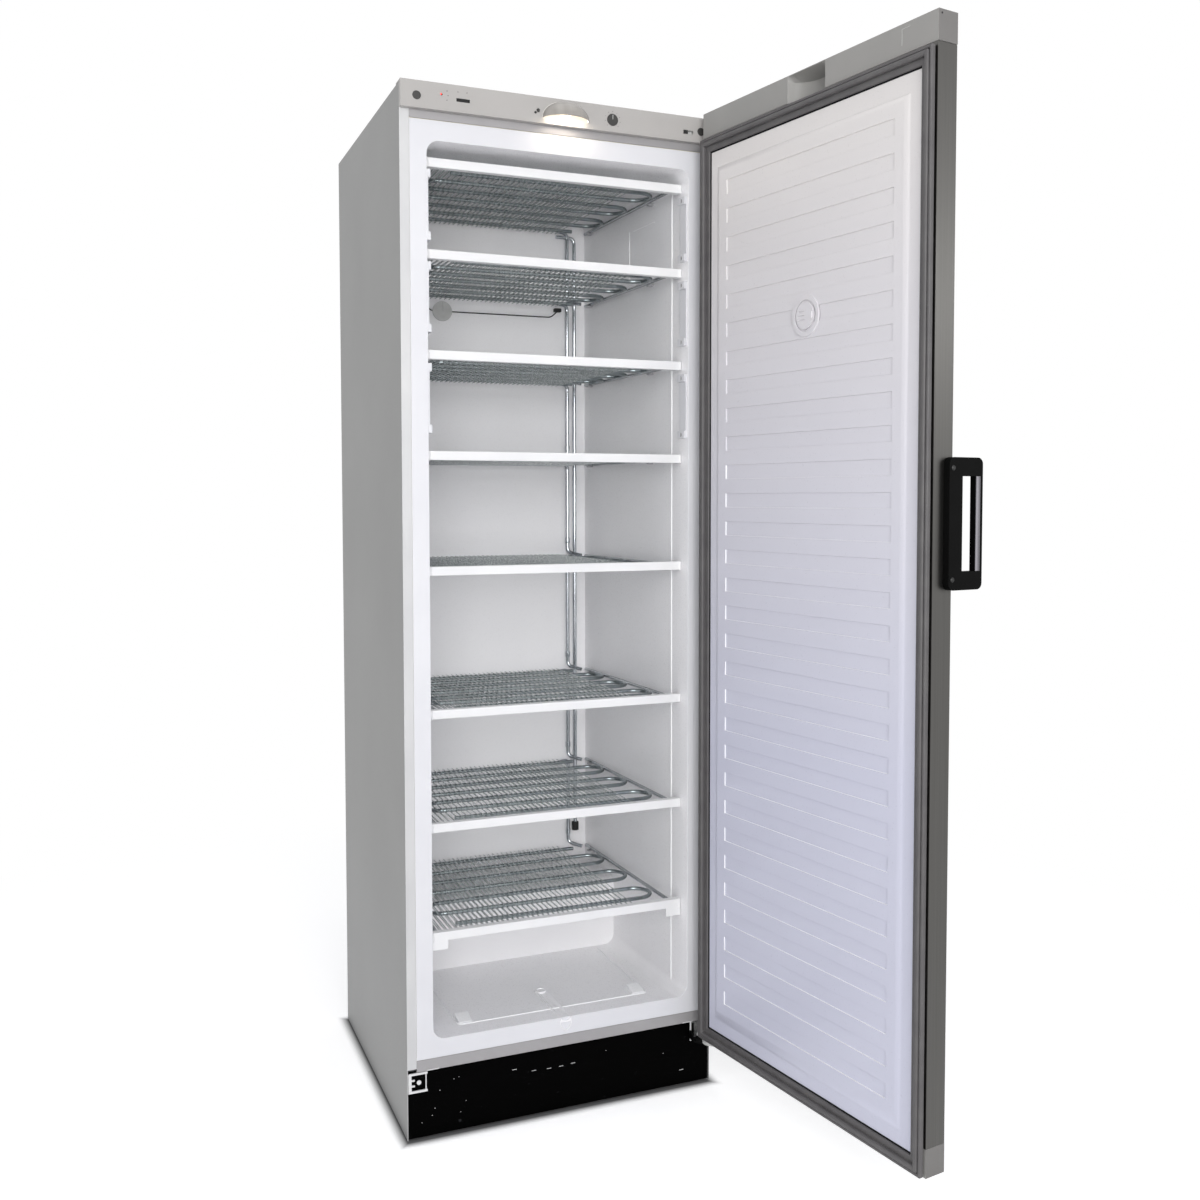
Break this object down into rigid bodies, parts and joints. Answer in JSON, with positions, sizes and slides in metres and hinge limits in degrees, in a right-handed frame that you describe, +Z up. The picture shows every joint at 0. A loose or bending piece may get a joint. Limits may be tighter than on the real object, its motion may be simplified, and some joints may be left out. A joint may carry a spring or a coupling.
{
  "type": "upright freezer",
  "caption": "Tall free-standing freezer cabinet with refrigerated wire-on-tube shelves and a side-hung insulated door that swings out on pins.",
  "frame": {"origin": "on the floor at the middle of the cabinet's footprint, under the feet and rollers", "axes": "+Z up, -Y out of the front towards the user, +X to the user's right, the side the door hangs on"},
  "size_m": [0.7415, 1.1973, 1.85],
  "materials": {
    "body_paint": "satin",
    "rail_paint": "satin",
    "back_zinc": "satin",
    "base_zinc": "satin",
    "door_steel": "brushed",
    "liner_white": "satin",
    "door_liner_white": "satin",
    "foam": "matte",
    "fascia_grey": "satin",
    "cap_grey": "matte",
    "plug_grey": "matte",
    "black_plastic": "matte",
    "display_black": "gloss",
    "cowl_clear": "gloss",
    "bulb_glass": "clear",
    "shelf_wire": "gloss",
    "trim_white": "satin",
    "riser_chrome": "polished",
    "seal_rubber": "matte",
    "black_rubber": "matte",
    "sensor_grey": "matte",
    "machine_black": "satin",
    "copper": "polished",
    "hinge_steel": "polished",
    "bracket_white": "satin",
    "bush_white": "matte",
    "inlay_metal": "brushed",
    "screw_steel": "polished"
  },
  "bodies": {
    "cabinet": {"side_panel_left": "body_paint", "side_panel_right": "body_paint", "top_panel": "body_paint", "back_panel": "back_zinc", "top_rail": "rail_paint", "bottom_rail": "rail_paint", "base_frame": "base_zinc", "kick_plate": "black_plastic", "mains_inlet": "black_plastic", "drain_tray": "black_plastic", "inner_liner": "liner_white", "insulation_foam": "foam", "control_fascia": "fascia_grey", "fascia_plugs": "plug_grey", "indicator_module": "display_black", "thermostat_body": "sensor_grey", "switch_housing": "sensor_grey", "door_switch_body": "sensor_grey", "temperature_sensor": "sensor_grey", "lamp_cowl": "cowl_clear", "lamp_bulb": "bulb_glass", "lamp_holder": "trim_white", "shelf_trims": "trim_white", "shelf_supports": "trim_white", "flap_strips": "trim_white", "evaporator_shelf_1": "shelf_wire", "evaporator_shelf_2": "shelf_wire", "evaporator_shelf_3": "shelf_wire", "evaporator_shelf_4": "shelf_wire", "evaporator_shelf_5": "shelf_wire", "evaporator_shelf_6": "shelf_wire", "evaporator_shelf_7": "shelf_wire", "evaporator_shelf_8": "shelf_wire", "riser_tubes": "riser_chrome", "riser_grommet": "black_rubber", "compressor_feet": "black_rubber", "compressor": "machine_black", "condenser": "machine_black", "refrigerant_lines": "copper", "lower_hinge_bracket": "hinge_steel", "upper_hinge_plate": "hinge_steel", "spare_hinge_bracket": "bracket_white"},
    "door": {"door_skin": "door_steel", "door_top_cap": "cap_grey", "door_bottom_cap": "cap_grey", "door_foam": "foam", "door_liner": "door_liner_white", "door_gasket": "seal_rubber", "pressure_valve": "trim_white", "door_handle": "black_plastic", "handle_inlay": "inlay_metal", "handle_screws": "screw_steel", "hinge_bushes": "bush_white"},
    "knob": {"thermostat_knob": "plug_grey"},
    "slider": {"switch_slider": "black_plastic"},
    "plunger": {"door_switch_plunger": "plug_grey"},
    "left_foot": {"foot_left": "black_plastic"},
    "right_foot": {"foot_right": "black_plastic"},
    "left_roller": {"roller_left": "black_plastic"},
    "right_roller": {"roller_right": "black_plastic"}
  },
  "joints": [
    {"name": "door_hinge", "type": "hinge", "parent": "cabinet", "child": "door", "pos_m": [0.2875, -0.321, 0.95], "axis": [0, 0, 1], "range_deg": [-98.5, 30]},
    {"name": "thermostat_turn", "type": "hinge", "parent": "cabinet", "child": "knob", "pos_m": [0.0909, -0.2965, 1.8256], "axis": [0, -1, 0], "range_deg": [-135, 135]},
    {"name": "switch_slide", "type": "slide", "parent": "cabinet", "child": "slider", "axis": [1, 0, 0], "range_m": [0, 0.0112]},
    {"name": "plunger_press", "type": "slide", "parent": "cabinet", "child": "plunger", "axis": [0, 1, 0], "range_m": [0, 0.0012], "stiffness_N_per_m": 100},
    {"name": "left_foot_screw", "type": "slide", "parent": "cabinet", "child": "left_foot", "axis": [0, 0, -1], "range_m": [0, 0.015]},
    {"name": "right_foot_screw", "type": "slide", "parent": "cabinet", "child": "right_foot", "axis": [0, 0, -1], "range_m": [0, 0.015]},
    {"name": "left_roller_spin", "type": "hinge", "parent": "cabinet", "child": "left_roller", "pos_m": [-0.2797, 0.24, 0.014], "axis": [1, 0, 0], "continuous": true},
    {"name": "right_roller_spin", "type": "hinge", "parent": "cabinet", "child": "right_roller", "pos_m": [0.2797, 0.24, 0.014], "axis": [1, 0, 0], "continuous": true}
  ]
}
